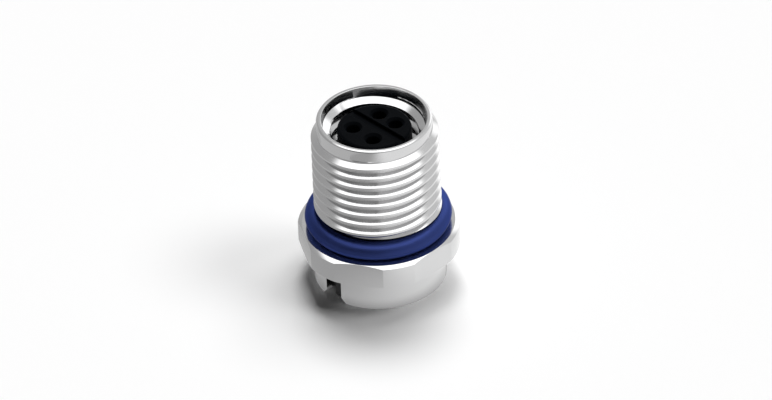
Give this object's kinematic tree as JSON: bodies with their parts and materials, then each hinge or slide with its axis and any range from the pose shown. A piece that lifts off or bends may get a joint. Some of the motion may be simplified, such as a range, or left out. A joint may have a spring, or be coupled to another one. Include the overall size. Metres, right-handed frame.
{
  "type": "circular sensor socket",
  "caption": "Round panel socket for a small sensor plug: slim threaded metal shell with a hexagonal flange, rubber panel ring and a black insert with spring contacts.",
  "frame": {"origin": "on the axis, at the rear end of the collar, which is the face the part stands on", "axes": "+Z along the axis towards the mating face, -Y towards the key slot in the collar"},
  "size_m": [0.012, 0.0126, 0.0147],
  "materials": {
    "plated_shell": "turned brass with a bright nickel plate",
    "blue_rubber": "satin",
    "black_moulding": "satin black moulding",
    "dark_rubber": "satin",
    "gold_contacts": "gold plated copper alloy"
  },
  "bodies": {
    "root": {"shell": "plated_shell", "flange_seal": "blue_rubber", "contact_carrier": "black_moulding", "carrier_seal": "dark_rubber", "rear_holder": "black_moulding", "contact_1": "gold_contacts", "contact_2": "gold_contacts", "contact_3": "gold_contacts", "contact_4": "gold_contacts"}
  },
  "joints": []
}
